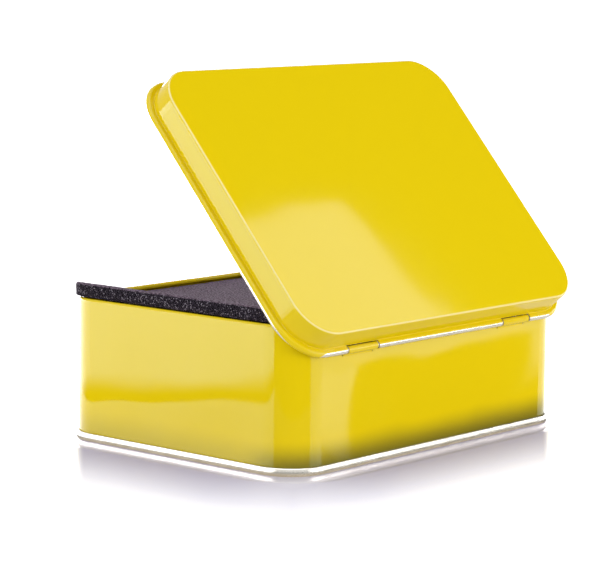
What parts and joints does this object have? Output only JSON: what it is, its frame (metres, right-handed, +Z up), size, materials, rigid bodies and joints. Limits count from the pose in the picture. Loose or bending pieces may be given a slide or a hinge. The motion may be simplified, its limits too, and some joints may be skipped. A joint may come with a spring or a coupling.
{
  "type": "hinged tin box",
  "caption": "Rectangular tin of glossy yellow tinplate with rounded corners, a wire-hinged lid with a rolled bead, a bare seamed bottom, and a loose foam pad over a foam inlay.",
  "frame": {"origin": "centre of the tin's footprint, on the plane that it stands on", "axes": "+X along the hinge, +Y towards the hinge side, +Z up"},
  "size_m": [0.1698, 0.1291, 0.1429],
  "materials": {
    "yellow_lacquer": "gloss lacquer",
    "bare_tinplate": "bright rolled",
    "hinge_steel": "drawn wire",
    "dark_foam": "open-cell foam"
  },
  "bodies": {
    "tin": {"body_wall": "yellow_lacquer", "base_panel": "bare_tinplate", "hinge_wire": "hinge_steel", "foam_inlay": "dark_foam", "foam_pad": "dark_foam"},
    "lid": {"lid_shell": "yellow_lacquer"}
  },
  "joints": [
    {"name": "lid_hinge", "type": "hinge", "parent": "tin", "child": "lid", "pos_m": [0, 0.06125, 0.0444], "axis": [-1, 0, 0], "range_deg": [-49.05, 60.95], "deforming": ["foam_pad"]}
  ]
}
